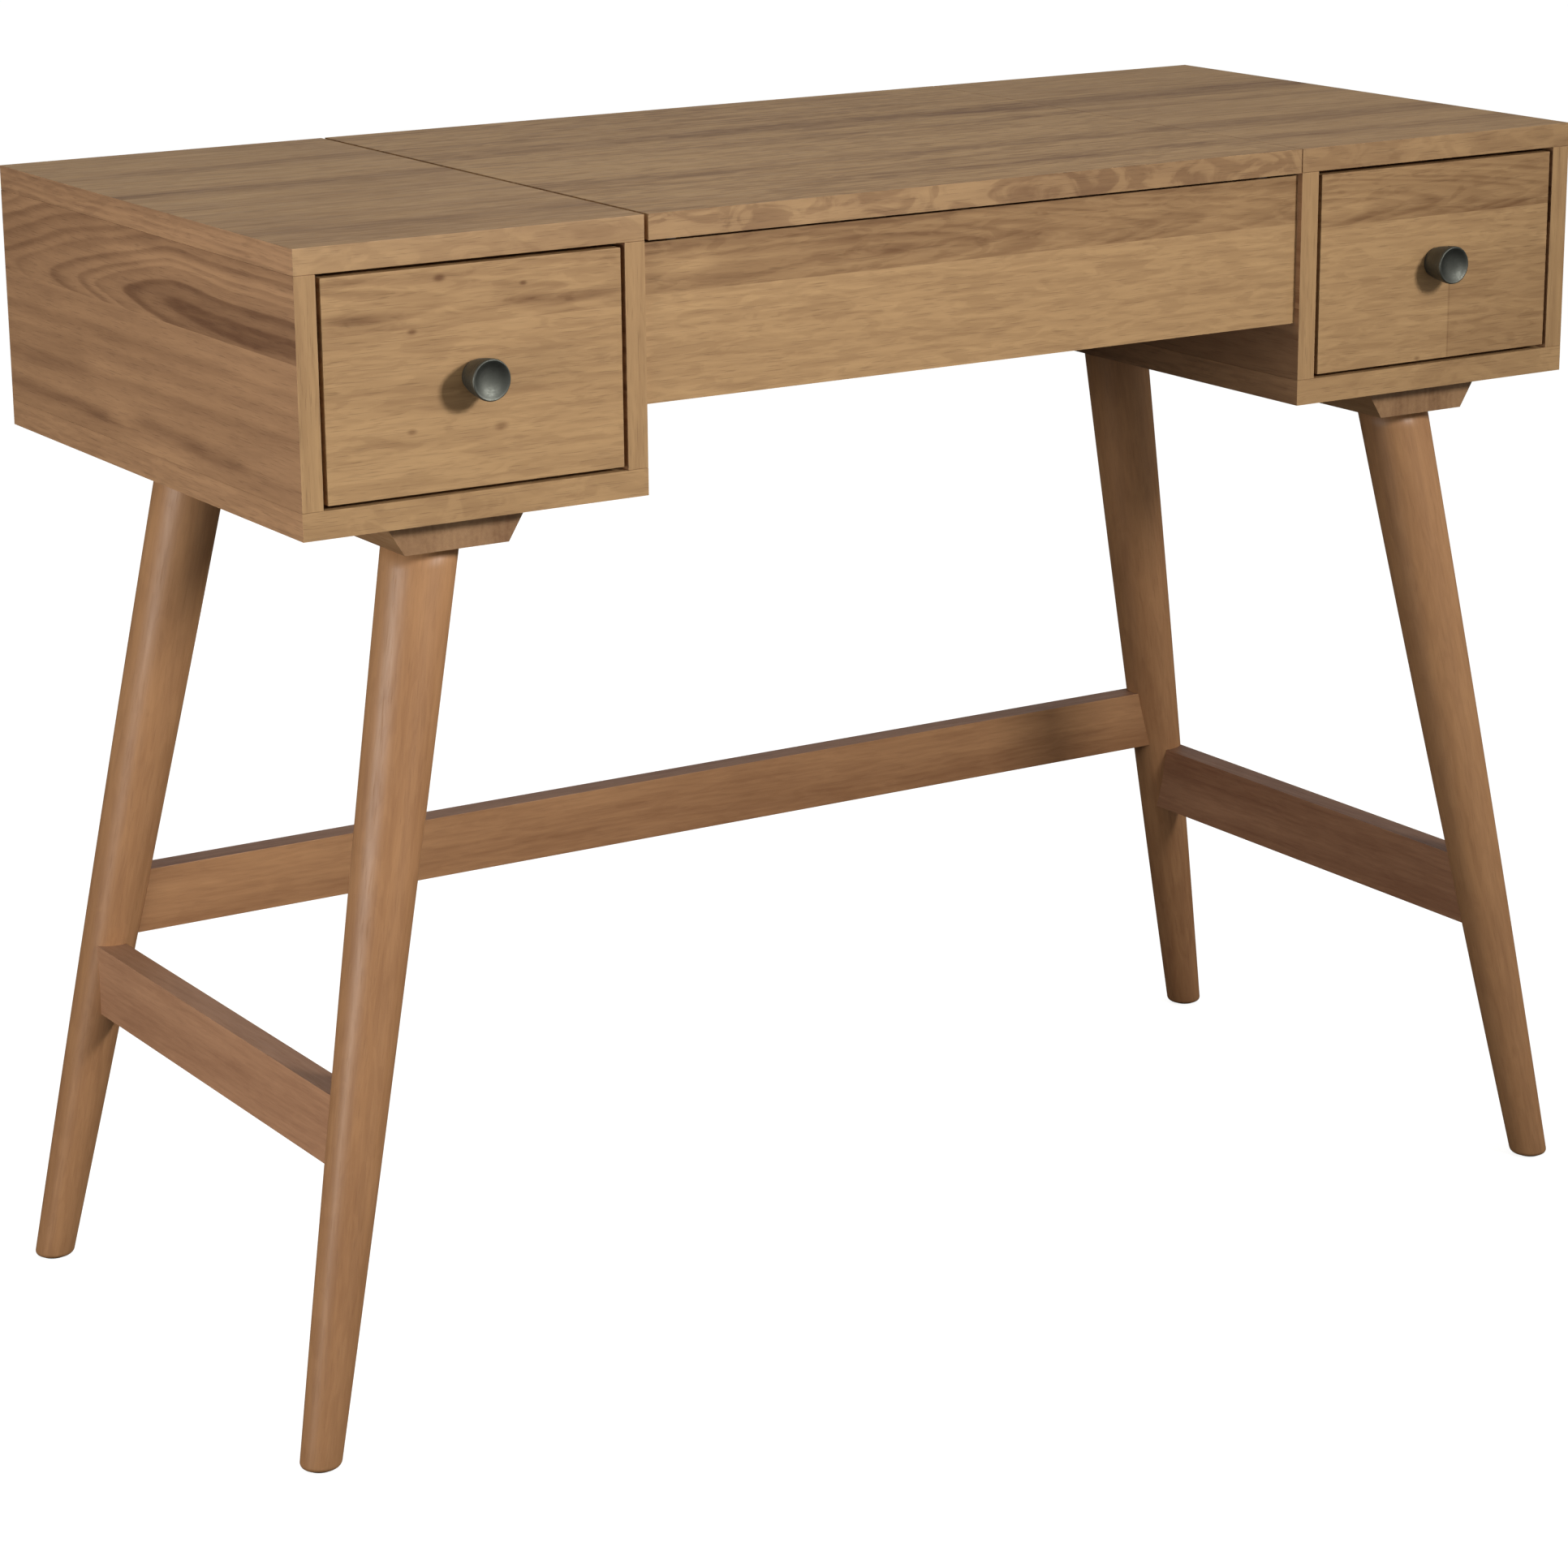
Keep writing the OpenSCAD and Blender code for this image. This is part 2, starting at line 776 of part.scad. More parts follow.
mirror_frame_rails();
mirror_frame_stiles();
drawer_front(-1);  // left_drawer_front
drawer_box_front(-1);  // left_drawer_box_front
drawer_side(-1, 1);  // left_drawer_outer_side
drawer_side(-1, -1);  // left_drawer_inner_side
drawer_back(-1);  // left_drawer_back
drawer_bottom(-1);  // left_drawer_bottom
drawer_slides(-1);  // left_drawer_slides
knob(-1);  // left_knob
knob_screw(-1);  // left_knob_screw
drawer_front(1);  // right_drawer_front
drawer_box_front(1);  // right_drawer_box_front
drawer_side(1, 1);  // right_drawer_outer_side
drawer_side(1, -1);  // right_drawer_inner_side
drawer_back(1);  // right_drawer_back
drawer_bottom(1);  // right_drawer_bottom
drawer_slides(1);  // right_drawer_slides
knob(1);  // right_knob
knob_screw(1);  // right_knob_screw
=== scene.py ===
import math

import bmesh
import bpy
from mathutils import Matrix, Vector


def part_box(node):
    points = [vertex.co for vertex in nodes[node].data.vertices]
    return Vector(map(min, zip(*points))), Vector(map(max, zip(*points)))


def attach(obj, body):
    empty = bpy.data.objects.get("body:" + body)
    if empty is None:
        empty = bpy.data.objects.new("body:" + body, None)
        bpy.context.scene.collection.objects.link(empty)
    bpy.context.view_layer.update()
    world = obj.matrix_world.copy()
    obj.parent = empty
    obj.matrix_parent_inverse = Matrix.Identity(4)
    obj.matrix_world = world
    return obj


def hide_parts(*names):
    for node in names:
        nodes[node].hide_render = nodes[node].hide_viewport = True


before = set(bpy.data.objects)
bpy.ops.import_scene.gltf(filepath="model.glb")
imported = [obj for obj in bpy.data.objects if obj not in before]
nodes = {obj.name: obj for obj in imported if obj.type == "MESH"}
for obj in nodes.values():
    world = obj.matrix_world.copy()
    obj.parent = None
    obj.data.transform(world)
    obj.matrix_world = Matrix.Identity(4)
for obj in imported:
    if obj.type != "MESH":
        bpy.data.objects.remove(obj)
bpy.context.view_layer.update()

MM = 0.001


# ---- Camera ----

CAMERA_FROM_CASE = Vector((-1.5573, -2.4445, 1.1416))
CAMERA_AZIMUTH = math.radians(-32.16)
CAMERA_ELEVATION = math.radians(15.94)
CAMERA_ROLL = math.radians(-0.48)
CAMERA_LENS = 98.65


def make_camera():
    """The camera of the photograph: it stands in front and to the left, a little above the top."""
    data = bpy.data.cameras.new("camera")
    data.lens = CAMERA_LENS
    data.clip_end = 100
    camera = bpy.data.objects.new("camera", data)
    bpy.context.scene.collection.objects.link(camera)
    level = math.cos(CAMERA_ELEVATION)
    back = Vector((math.sin(CAMERA_AZIMUTH) * level, -math.cos(CAMERA_AZIMUTH) * level,
                   math.sin(CAMERA_ELEVATION)))
    right = Vector((0, 0, 1)).cross(back).normalized()
    turn = Matrix((right, back.cross(right), back)).transposed()
    turn = turn @ Matrix.Rotation(CAMERA_ROLL, 3, "Z")
    low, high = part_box("left_outer_side")
    case_middle = Vector((0, (low.y + high.y) / 2, 0))
    camera.matrix_world = Matrix.Translation(case_middle + CAMERA_FROM_CASE) @ turn.to_4x4()
    bpy.context.scene.camera = camera


# ---- Node building ----

# The outputs of a texture coordinate node that are used here
NORMAL_OUTPUT = 1
OBJECT_OUTPUT = 3
# The sockets of a mix node: the two colours and their mix, the two vectors and theirs
COLOUR_A, COLOUR_B, MIXED_COLOUR = 6, 7, 2
VECTOR_A, VECTOR_B, MIXED_VECTOR = 4, 5, 1


class Graph:
    """A node tree. Its methods add a node and return the socket that carries the result."""

    def __init__(self, tree):
        self.tree = tree

    def add(self, kind, inputs=(), output=0, **settings):
        node = self.tree.nodes.new("ShaderNode" + kind)
        for key, value in settings.items():
            setattr(node, key, value)
        for key, value in dict(inputs).items():
            self.join(value, node.inputs[key])
        return node.outputs[output]

    def join(self, value, socket):
        if isinstance(value, bpy.types.NodeSocket):
            self.tree.links.new(value, socket)
        else:
            socket.default_value = value

    def math(self, operation, a, b=0.0, clamp=False):
        return self.add("Math", {0: a, 1: b}, operation=operation, use_clamp=clamp)

    def sum(self, *terms):
        total = terms[0]
        for term in terms[1:]:
            total = self.math("ADD", total, term)
        return total

    def times(self, a, b):
        return self.math("MULTIPLY", a, b)

    def line(self, value, low, high, to_low=0.0, to_high=1.0, smooth=False):
        """Maps value from low..high to to_low..to_high, held at both ends."""
        kind = "SMOOTHSTEP" if smooth else "LINEAR"
        return self.add("MapRange", {0: value, 1: low, 2: high, 3: to_low, 4: to_high},
                        interpolation_type=kind)

    def vector(self, x, y, z):
        return self.add("CombineXYZ", {0: x, 1: y, 2: z})

    def noise(self, vector, scale=1.0, detail=2.0, roughness=0.5, distortion=0.0):
        return self.add("TexNoise", {"Vector": vector, "Scale": scale, "Detail": detail,
                                     "Roughness": roughness, "Distortion": distortion})

    def mix(self, share, a, b):
        """Mixes two colours."""
        return self.add("Mix", {"Factor": share, COLOUR_A: a, COLOUR_B: b}, output=MIXED_COLOUR,
                        data_type="RGBA")

    def mix_vectors(self, share, a, b):
        return self.add("Mix", {"Factor": share, VECTOR_A: a, VECTOR_B: b}, output=MIXED_VECTOR,
                        data_type="VECTOR")

    def place(self):
        """The point in the object's own axes, in metres."""
        return self.add("TexCoord", output=OBJECT_OUTPUT)

    def split(self, vector):
        """A vector's three parts, as a dict by axis name."""
        node = self.tree.nodes.new("ShaderNodeSeparateXYZ")
        self.join(vector, node.inputs[0])
        return dict(zip("XYZ", node.outputs))

    def stepped(self, value, edges, levels):
        """levels[0] below edges[0], levels[1] from there to edges[1], and so on."""
        total = levels[0]
        for edge, before, after in zip(edges, levels, levels[1:]):
            past = self.math("GREATER_THAN", value, edge)
            total = self.sum(self.times(past, after - before), total)
        return total


class Shader(Graph):
    """The node tree of a new material."""

    def __init__(self, name):
        self.material = bpy.data.materials.new(name)
        self.material.use_nodes = True
        super().__init__(self.material.node_tree)
        self.surface = self.tree.nodes["Principled BSDF"]

    def set(self, **values):
        for key, value in values.items():
            self.join(value, self.surface.inputs[key.replace("_", " ")])


def rgb(red, green, blue):
    """A colour given as the eye sees it, 0 to 255, in the linear values that shaders use."""
    def linear(level):
        level /= 255
        return level / 12.92 if level <= 0.04045 else ((level + 0.055) / 1.055) ** 2.4
    return (linear(red), linear(green), linear(blue), 1)


# ---- Light ----

# The surround's brightness at heights on the unit sphere, from straight below to straight above
SURROUND = [(-1.0, 0.012), (-0.10, 0.015), (0.02, 0.045), (0.25, 0.26), (0.6, 0.43), (1.0, 0.47)]
# A pale wall in front, which the raised mirror reflects: the way to it, how bright it is, from where
# to where it fades in around that way, and between which heights at its foot and at its top
WALL_TOWARDS = (0.26, -0.97)
WALL_LEVEL = 0.18
WALL_SIDES = (0.35, 0.80)
WALL_FOOT = (-0.75, -0.25)
WALL_TOP = (0.15, 0.50)
# Each area light: where it stands, what it faces, its size, its power, and how wide it shines
KEY_LIGHT = dict(place=(0.75, -2.05, 1.50), target=(-0.9, -0.1, 0.75), size=(0.35, 0.35), power=14.7,
                 spread=100)
LEFT_PANEL = dict(place=(-1.9, -0.35, 0.64), target=(-0.45, 0, 0.60), size=(1.2, 0.21), power=15)
LEFT_STRIP = dict(place=(-1.9, -0.35, 0.25), target=(-0.45, -0.1, 0.30), size=(0.35, 0.50), power=3.4)
RIGHT_PANEL = dict(place=(3.0, -0.45, 0.40), target=(0.45, -0.05, 0.34), size=(1.6, 0.6), power=14)
BACK_PANEL = dict(place=(0.9, 2.3, 1.60), target=(0.1, 0.2, 0.60), size=(1.2, 0.6), power=11)


def make_area_light(name, place, target, size, power, spread=180):
    data = bpy.data.lights.new(name, "AREA")
    data.shape = "RECTANGLE"
    data.size, data.size_y = size
    data.energy = power
    data.spread = math.radians(spread)
    light = bpy.data.objects.new(name, data)
    bpy.context.scene.collection.objects.link(light)
    light.location = place
    light.rotation_euler = (Vector(place) - Vector(target)).to_track_quat("Z", "Y").to_euler()
    return light


def make_surround():
    """A room that is dark below and lighter towards the ceiling, with a pale wall in front."""
    world = bpy.data.worlds.new("studio")
    bpy.context.scene.world = world
    world.use_nodes = True
    g = Graph(world.node_tree)
    towards = g.split(g.add("TexCoord"))
    height = towards["Z"]
    glow = SURROUND[0][1]
    for (low, before), (high, after) in zip(SURROUND, SURROUND[1:]):
        glow = g.sum(g.line(height, low, high, 0.0, after - before), glow)
    facing = g.sum(g.times(towards["X"], WALL_TOWARDS[0]), g.times(towards["Y"], WALL_TOWARDS[1]))
    wall = g.times(g.line(facing, *WALL_SIDES, smooth=True), g.line(height, *WALL_FOOT, smooth=True))
    wall = g.times(wall, g.line(height, WALL_TOP[1], WALL_TOP[0], 0.0, WALL_LEVEL, smooth=True))
    background = g.tree.nodes["Background"]
    background.inputs["Color"].default_value = (1, 1, 1, 1)
    g.join(g.sum(glow, wall), background.inputs["Strength"])


# How far the floor and the round backdrop reach, and the backdrop's height, all in metres
FLOOR_REACH = 40
BACKDROP_REACH = 30
BACKDROP_HEIGHT = 25
BACKDROP_SIDES = 64


def make_paper(name, corners, faces, material):
    """A sheet that only the camera sees: it neither lights the table nor shows in its gloss."""
    mesh = bpy.data.meshes.new(name)
    mesh.from_pydata(corners, [], faces)
    paper = bpy.data.objects.new(name, mesh)
    bpy.context.scene.collection.objects.link(paper)
    mesh.materials.append(material)
    paper.visible_diffuse = False
    paper.visible_glossy = False
    return paper


def make_floor():
    """A pale floor, with a round backdrop far away that hides its horizon in low views."""
    paper = floor_material()
    reach = FLOOR_REACH
    make_paper("floor", [(-reach, -reach, 0), (reach, -reach, 0), (reach, reach, 0), (-reach, reach, 0)],
               [(0, 1, 2, 3)], paper)
    ring = []
    for k in range(BACKDROP_SIDES):
        angle = 2 * math.pi * k / BACKDROP_SIDES
        ring.append((BACKDROP_REACH * math.cos(angle), BACKDROP_REACH * math.sin(angle)))
    corners = [(x, y, z) for z in (0, BACKDROP_HEIGHT) for x, y in ring]
    faces = [(k, (k + 1) % BACKDROP_SIDES, (k + 1) % BACKDROP_SIDES + BACKDROP_SIDES, k + BACKDROP_SIDES)
             for k in range(BACKDROP_SIDES)]
    backdrop = make_paper("backdrop", corners, faces, paper)
    backdrop.visible_shadow = False


def make_studio():
    """The surround, a key light at the front right, panels at both sides and behind, a pale floor."""
    make_surround()
    make_area_light("key_light", **KEY_LIGHT)
    make_area_light("left_panel", **LEFT_PANEL)
    strip = make_area_light("left_strip", **LEFT_STRIP)
    strip.visible_diffuse = False
    right = make_area_light("right_panel", **RIGHT_PANEL)
    right.visible_glossy = False
    back = make_area_light("back_panel", **BACK_PANEL)
    back.visible_glossy = False
    make_floor()


# ---- Wood ----

# Each look: the colours of the pale and of the dark wood, roughness, the distance between growth
# rings, how strongly rings, broad bands, fibres, curled blotches and pores show, and the gloss
CASE_LOOK = dict(light=rgb(186, 149, 104), dark=rgb(112, 77, 47), rough=0.50, ring=4.6 * MM,
                 rings=0.26, bands=0.30, fibre=0.09, curl=0.10, pores=0.25, gloss=0.3)
SIDE_LOOK = dict(CASE_LOOK, light=rgb(181, 139, 101), dark=rgb(110, 76, 52), ring=8.5 * MM, rings=0.42,
                 curl=0.04)
TOP_LOOK = dict(CASE_LOOK, gloss=0.42)
LID_LOOK = dict(TOP_LOOK, curl=0.20)
LEG_LOOK = dict(light=rgb(190, 142, 98), dark=rgb(130, 86, 54), rough=0.43, ring=4.0 * MM,
                rings=0.08, bands=0.40, fibre=0.12, curl=0.06, pores=0.12, gloss=0.44)
CLEAT_LOOK = dict(LEG_LOOK, light=rgb(178, 140, 100), dark=rgb(122, 86, 56))
STRETCHER_LOOK = dict(LEG_LOOK, light=rgb(190, 142, 107), dark=rgb(130, 86, 60))
# Painted shade: a darker wood on the stretchers' top and bottom faces
STRETCHER_TOP_SHADE_LOOK = dict(LEG_LOOK, light=rgb(148, 110, 83), dark=rgb(102, 68, 48))
DRAWER_LOOK = dict(light=rgb(226, 202, 160), dark=rgb(196, 164, 118), rough=0.55, ring=6.0 * MM,
                   rings=0.25, bands=0.5, fibre=0.20, curl=0.08, pores=0.15, gloss=0.3)
SHEET_LOOK = dict(DRAWER_LOOK, light=rgb(206, 176, 130), dark=rgb(172, 136, 92))

OTHER_AXIS = {"XY": "Z", "XZ": "Y", "YZ": "X", "YX": "Z", "ZX": "Y", "ZY": "X"}
EVERYWHERE = 9.0

# A face belongs to the edging where its normal has more than this of the edging's axis
FACES_ALONG = 0.7
# How far the pattern moves along the grain from strip to strip, and from seed to seed
STRIP_SHIFT = 3.7
SEED_SHIFT = 1.31
# How far the heart wanders sideways, and how far the rings drift and ripple
HEART_WANDER = 7 * MM
RING_DRIFT = 1.5 * MM
RING_RIPPLE = 1.1 * MM
# The length over which the rings begin to taper
TAPER_EASE = 40 * MM
# How uneven the distances between rings are, as a share of the distance
RING_UNEVEN = 0.35
# The darkness of plain wood, and how much its mottling adds or takes away
BASE_DARKNESS = 0.25
MOTTLE = 0.07
# How far the fibres lean across the grain
FIBRE_LEAN = 0.035
# How far from the heart the darkness of the core starts and stops to fade
CORE_FADE = (4 * MM, 34 * MM)
# How bright the ink in the pores is, beside the dark wood, and how deep the relief is
INK = 0.35
RELIEF = 0.12 * MM
# How far a streak bends, and over what length its ends fade
STREAK_BEND = 8 * MM
STREAK_FADE = 20 * MM
# A pin knot is longer along the grain: the square of its width over its length, and its darkness
KNOT_SQUEEZE = 0.30
KNOT_DARKNESS = 0.5
# The line of glue at a joint across the grain: half its width, and its darkness
SEAM_HALF = 1.2 * MM
SEAM_DARKNESS = 0.22


def plank(edge=EVERYWHERE, tone=0.0, heart=0.0, depth=0.06, start=0.0, rise=0.0, figure=1.0, core=0.0):
    """One strip of a board, up to edge across the grain; tone darkens all of it. Its rings lie round
    the tree's heart, which is at heart across the grain and depth below the face. Past start along
    the grain they taper by rise and end in nested tips. core darkens the wood next to the heart."""
    return dict(edge=edge, tone=tone, heart=heart, depth=depth, start=start, rise=rise, figure=figure,
                core=core)


def streak(place, half, amount, since=-EVERYWHERE, until=EVERYWHERE):
    """A soft dark line along the grain, or a pale one where amount is negative."""
    return dict(place=place, half=half, amount=amount, since=since, until=until)


def knot(along, across, radius):
    return dict(along=along, across=across, radius=radius)


def butt(along, below, tone):
    """A joint across the grain in the strips below a given place; the wood past it changes by tone."""
    return dict(along=along, below=below, tone=tone)


def edging(faces, grain, across, look):
    """Faces whose normal lies along one axis show wood with a grain of their own."""
    return dict(faces=faces, grain=grain, across=across, look=look)


def ring_distance(s, u, v, w, shift, by_plank):
    """How far a point lies from the tree's heart, in metres of its rings."""
    u_moved = s.sum(u, shift)
    wander = s.noise(s.vector(s.times(u_moved, 4.0), s.times(v, 12.0), shift), detail=1.0)
    ripple = s.noise(s.vector(s.times(u_moved, 16.0), s.times(v, 90.0), s.times(w, 90.0)), detail=3.0)
    side = s.sum(v, s.times(by_plank("heart"), -1.0),
                 s.line(wander, 0.2, 0.8, -HEART_WANDER, HEART_WANDER))
    deep = by_plank("depth")
    past = s.add("Math", {0: s.sum(u, s.times(by_plank("start"), -1.0)), 1: 0.0, 2: TAPER_EASE},
                 operation="SMOOTH_MAX")
    reach = s.math("SQRT", s.sum(s.times(side, side), s.times(deep, deep)))
    return s.sum(reach, s.times(past, by_plank("rise")),
                 s.line(ripple, 0.2, 0.8, -RING_RIPPLE, RING_RIPPLE),
                 s.line(wander, 0.2, 0.8, RING_DRIFT, -RING_DRIFT))


def late_wood(s, reach, spacing):
    """The dark part of each growth ring. No two rings are quite alike."""
    uneven = s.noise(s.vector(s.times(reach, 55.0), 0.3, 0.7), detail=1.0)
    phase = s.sum(s.times(reach, 1 / spacing), s.line(uneven, 0.2, 0.8, -RING_UNEVEN, RING_UNEVEN))
    ring = s.math("FRACT", phase)
    strength = s.noise(s.vector(s.times(reach, 120.0), 3.1, 0.2), detail=0.0)
    edge = s.times(s.line(ring, 0.15, 0.72, smooth=True), s.line(ring, 1.0, 0.80, smooth=True))
    return s.times(edge, s.line(strength, 0.35, 0.65, 0.45, 1.0))


def marks(s, u, v, streaks, knots, butts):
    """The darkness that single streaks, pin knots and joints add."""
    total = 0.0
    if streaks:
        bend = s.line(s.noise(s.vector(s.times(u, 5.0), s.times(v, 9.0), 1.7), detail=2.0),
                      0.2, 0.8, -STREAK_BEND, STREAK_BEND)
        ragged = s.line(s.noise(s.vector(s.times(u, 12.0), s.times(v, 60.0), 4.4), detail=2.0),
                        0.3, 0.6, 0.7, 1.2)
        wavy = s.sum(v, bend)
    for line in streaks:
        away = s.math("ABSOLUTE", s.math("SUBTRACT", wavy, line["place"]))
        mark = s.times(s.line(away, 0.0, line["half"], line["amount"], 0.0, smooth=True), ragged)
        since, until = line["since"], line["until"]
        if since > -EVERYWHERE:
            mark = s.times(mark, s.line(u, since - STREAK_FADE, since + STREAK_FADE, smooth=True))
        if until < EVERYWHERE:
            mark = s.times(mark, s.line(u, until + STREAK_FADE, until - STREAK_FADE, smooth=True))
        total = s.sum(mark, total)
    for pin in knots:
        du, dv = s.math("SUBTRACT", u, pin["along"]), s.math("SUBTRACT", v, pin["across"])
        away = s.math("SQRT", s.sum(s.times(s.times(du, du), KNOT_SQUEEZE), s.times(dv, dv)))
        spot = s.line(away, 1.5 * pin["radius"], 0.2 * pin["radius"], 0.0, KNOT_DARKNESS, smooth=True)
        total = s.sum(spot, total)
    for joint in butts:
        beyond = s.math("GREATER_THAN", u, joint["along"])
        away = s.math("ABSOLUTE", s.math("SUBTRACT", u, joint["along"]))
        seam = s.line(away, 0.0, SEAM_HALF, SEAM_DARKNESS, 0.0)
        here = s.math("LESS_THAN", v, joint["below"])
        total = s.sum(s.times(here, s.sum(s.times(beyond, joint["tone"]), seam)), total)
    return total


def wood(name, look, grain="X", across="Z", planks=None, seed=0, edge=None, streaks=(), knots=(),
         butts=()):
    """A wood with growth rings, bands, fibres, pores and single marks, in the object's own axes."""
    planks = planks or [plank()]
    s = Shader(name)
    axes = s.split(s.place())
    u, v, w = axes[grain], axes[across], axes[OTHER_AXIS[grain + across]]
    pale, dusk = look["light"], look["dark"]
    if edge:
        normal = s.split(s.add("TexCoord", output=NORMAL_OUTPUT))
        on_edge = s.math("GREATER_THAN", s.math("ABSOLUTE", normal[edge["faces"]]), FACES_ALONG)
        edge_axes = s.vector(axes[edge["grain"]], axes[edge["across"]], axes[edge["faces"]])
        turned = s.mix_vectors(on_edge, s.vector(u, v, w), edge_axes)
        u, v, w = s.split(turned).values()
        pale = s.mix(on_edge, pale, edge["look"]["light"])
        dusk = s.mix(on_edge, dusk, edge["look"]["dark"])
    edges = [p["edge"] for p in planks[:-1]]

    def by_plank(key):
        return s.stepped(v, edges, [p[key] for p in planks])

    which = s.stepped(v, edges, [float(i) for i in range(len(planks))])
    shift = s.sum(s.times(which, STRIP_SHIFT), seed * SEED_SHIFT)
    u_moved = s.sum(u, shift)
    reach = ring_distance(s, u, v, w, shift, by_plank)
    late = late_wood(s, reach, look["ring"])
    band = s.noise(s.vector(s.times(reach, 42.0), s.times(u_moved, 1.6), shift), detail=3.0)

    # Fibres, curled blotches and pores run with the grain
    lean = s.sum(v, s.times(u, FIBRE_LEAN))
    fibre = s.noise(s.vector(s.times(u_moved, 20.0), s.times(lean, 260.0), s.times(w, 260.0)),
                    detail=4.0, roughness=0.6, distortion=0.3)
    mottle = s.noise(s.vector(s.times(u_moved, 14.0), s.times(lean, 50.0), s.times(w, 50.0)), detail=3.0)
    curl = s.noise(s.vector(s.times(u_moved, 27.0), s.times(v, 150.0), s.times(w, 60.0)), detail=4.0,
                   distortion=1.3)
    pore = s.noise(s.vector(s.times(u_moved, 60.0), s.times(v, 1500.0), s.times(w, 1500.0)), detail=1.0)
    pore = s.line(pore, 0.60, 0.72)

    figure = by_plank("figure")
    dark = s.sum(
        BASE_DARKNESS,
        s.times(s.line(band, 0.3, 0.7, -1.0, 1.0, smooth=True), s.times(figure, look["bands"] / 2)),
        s.times(late, s.times(figure, look["rings"])),
        s.line(fibre, 0.3, 0.7, -look["fibre"], look["fibre"]),
        s.line(mottle, 0.3, 0.7, -MOTTLE, MOTTLE),
        s.line(curl, 0.42, 0.56, look["curl"] / 2, -look["curl"], smooth=True),
        s.times(s.line(reach, *CORE_FADE, 1.0, 0.0, smooth=True), by_plank("core")),
        by_plank("tone"),
        marks(s, u, v, streaks, knots, butts),
    )
    dark = s.math("ADD", dark, 0.0, clamp=True)
    colour = s.mix(dark, pale, dusk)
    ink = tuple(INK * level for level in look["dark"][:3]) + (1,)
    colour = s.mix(s.times(pore, look["pores"]), colour, ink)
    rough = s.sum(s.line(fibre, 0.3, 0.7, look["rough"] - 0.05, look["rough"] + 0.07), s.times(pore, 0.15))
    height = s.sum(s.times(pore, -0.6), s.times(fibre, 0.3), s.times(late, 0.15))
    bump = s.add("Bump", {"Strength": 0.35, "Distance": RELIEF, "Height": height})
    s.set(Base_Color=colour, Roughness=rough, Normal=bump)
    s.surface.inputs["IOR"].default_value = 1.45
    s.surface.inputs["Specular IOR Level"].default_value = look["gloss"]
    return s.material


def floor_material():
    """Lit paper: mostly its own even glow, so that it stays pale far from the lights."""
    s = Shader("floor_paper")
    cloud = s.noise(s.place(), scale=0.6, detail=3.0)
    s.set(Base_Color=s.mix(cloud, rgb(150, 150, 149), rgb(146, 146, 145)), Roughness=0.9)
    s.surface.inputs["Emission Color"].default_value = rgb(255, 255, 254)
    s.surface.inputs["Emission Strength"].default_value = 0.88
    return s.material


# ---- Metals, mirror and plastics ----

# How many blotches and how many fine specks a metal has per metre, and how deep the specks are
METAL_BLOTCHES = 33.0
METAL_SPECKS = 880.0
METAL_RELIEF = 0.03 * MM


def metal(name, light, dark, rough, metallic=1.0):
    """A metal or plastic with fine worn mottling."""
    s = Shader(name)
    place = s.place()
    broad = s.noise(place, scale=METAL_BLOTCHES, detail=3.0)
    fine = s.noise(place, scale=METAL_SPECKS, detail=3.0)
    s.set(Base_Color=s.mix(s.line(broad, 0.3, 0.7), light, dark),
          Roughness=s.line(fine, 0.3, 0.7, rough - 0.06, rough + 0.08),
          Normal=s.add("Bump", {"Strength": 0.4, "Distance": METAL_RELIEF, "Height": fine}))
    s.surface.inputs["Metallic"].default_value = metallic
    return s.material


def mirror_material():
    s = Shader("silvered_glass")
    haze = s.noise(s.place(), scale=9.0, detail=4.0)
    s.set(Base_Color=s.mix(haze, rgb(233, 238, 238), rgb(226, 233, 232)),
          Roughness=s.line(haze, 0.4, 0.7, 0.015, 0.045))
    s.surface.inputs["Metallic"].default_value = 1.0
    return s.material


def paint(node, material):
    """Gives a CAD node, or a piece, that one material."""
    mesh = (nodes[node] if isinstance(node, str) else node).data
    mesh.materials.clear()
    mesh.materials.append(material)


BEVEL_WIDTH = 0.4 * MM
BEVEL_SEGMENTS = 2
BEVEL_ANGLE = math.radians(40)
WELD_REACH = 0.001 * MM


def soften(node):
    """Breaks a CAD node's sharp edges with a small bevel, without changing its mesh."""
    piece = nodes[node]
    weld = piece.modifiers.new("weld", "WELD")
    weld.merge_threshold = WELD_REACH
    bevel = piece.modifiers.new("bevel", "BEVEL")
    bevel.width = BEVEL_WIDTH
    bevel.segments = BEVEL_SEGMENTS
    bevel.limit_method = "ANGLE"
    bevel.angle_limit = BEVEL_ANGLE
    normals = piece.modifiers.new("normals", "WEIGHTED_NORMAL")
    normals.keep_sharp = False


# ---- Knobs ----

KNOB_SIDES = 96
# How far out a point of the knob's outline lies, as a share of its length, and how far from the
# axis, as a share of the head's radius: a foot, a swelling drum, a rolled edge and a dished face
KNOB_OUTLINE = [(0.0, 0.735), (0.01, 0.765), (0.07, 0.765), (0.11, 0.803), (0.146, 0.824), (0.222, 0.855),
                (0.30, 0.880), (0.45, 0.919), (0.60, 0.953), (0.72, 0.976), (0.775, 0.984), (0.79, 0.978),
                (0.805, 0.984), (0.83, 0.997), (0.87, 1.0), (0.93, 1.0), (0.965, 0.993), (0.988, 0.978),
                (0.998, 0.955), (1.0, 0.935), (0.994, 0.905), (0.978, 0.855), (0.952, 0.785), (0.92, 0.680),
                (0.888, 0.540), (0.868, 0.380), (0.856, 0.200), (0.852, 0.0)]


